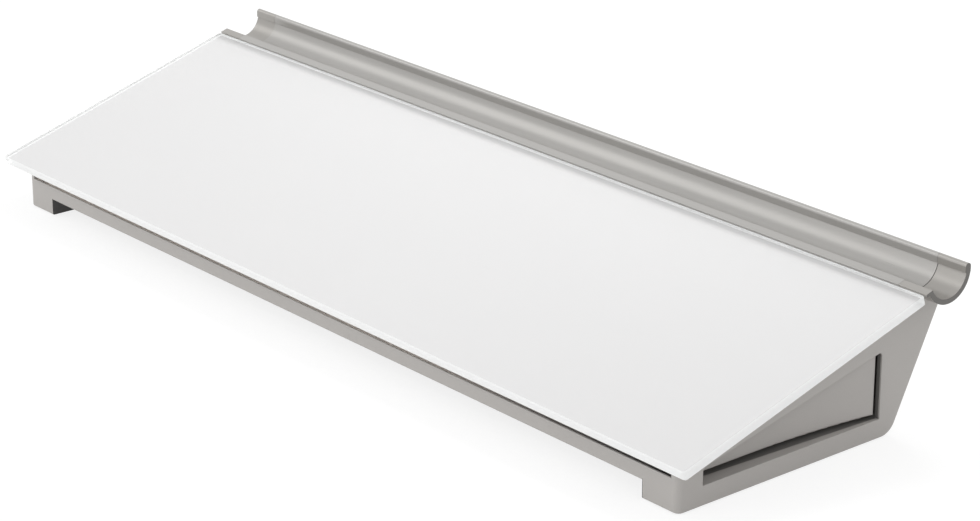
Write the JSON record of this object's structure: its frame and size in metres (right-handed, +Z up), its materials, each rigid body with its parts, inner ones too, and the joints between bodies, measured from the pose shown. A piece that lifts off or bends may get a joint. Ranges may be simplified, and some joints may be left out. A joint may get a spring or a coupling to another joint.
{
  "type": "glass memo board",
  "caption": "Desktop glass memo board: a sloping white-backed glass panel on a wedge housing, with a round pen tray along the back and a drawer that slides out of the right end.",
  "frame": {"origin": "on the desk, under the centre of the board's outline", "axes": "+X to the right along the board, +Y from the front edge to the pen tray, +Z up"},
  "size_m": [0.46, 0.1502, 0.0676],
  "materials": {
    "clear_glass": "polished",
    "white_backing": "smooth white",
    "foam_tape": "matt foam",
    "grey_moulding": "satin, fine grain",
    "dark_moulding": "matt, fine grain",
    "drawer_moulding": "matt",
    "satin_aluminium": "satin anodised",
    "runner_plastic": "natural",
    "plated_steel": "zinc plated",
    "pad_rubber": "matt"
  },
  "bodies": {
    "board": {"glass_panel": "clear_glass", "backing_film": "white_backing", "tape_front": "foam_tape", "tape_rear": "foam_tape", "tape_left": "foam_tape", "tape_right": "foam_tape", "housing": "grey_moulding", "bottom_plate": "dark_moulding", "bottom_plate_screws": "plated_steel", "foot_pad_front_left": "pad_rubber", "foot_pad_front_right": "pad_rubber", "foot_pad_rear_left": "pad_rubber", "foot_pad_rear_right": "pad_rubber", "pen_tray": "satin_aluminium", "tray_end_cap_left": "grey_moulding", "tray_end_cap_right": "grey_moulding", "end_cap_screws": "plated_steel", "drawer_runner_front": "runner_plastic", "drawer_runner_rear": "runner_plastic", "runner_screws": "plated_steel"},
    "drawer": {"drawer_box": "drawer_moulding", "drawer_front": "grey_moulding", "drawer_front_screws": "plated_steel", "drawer_stop": "runner_plastic"}
  },
  "joints": [
    {"name": "drawer_slide", "type": "slide", "parent": "board", "child": "drawer", "axis": [1, 0, 0], "range_m": [0, 0.22]}
  ]
}
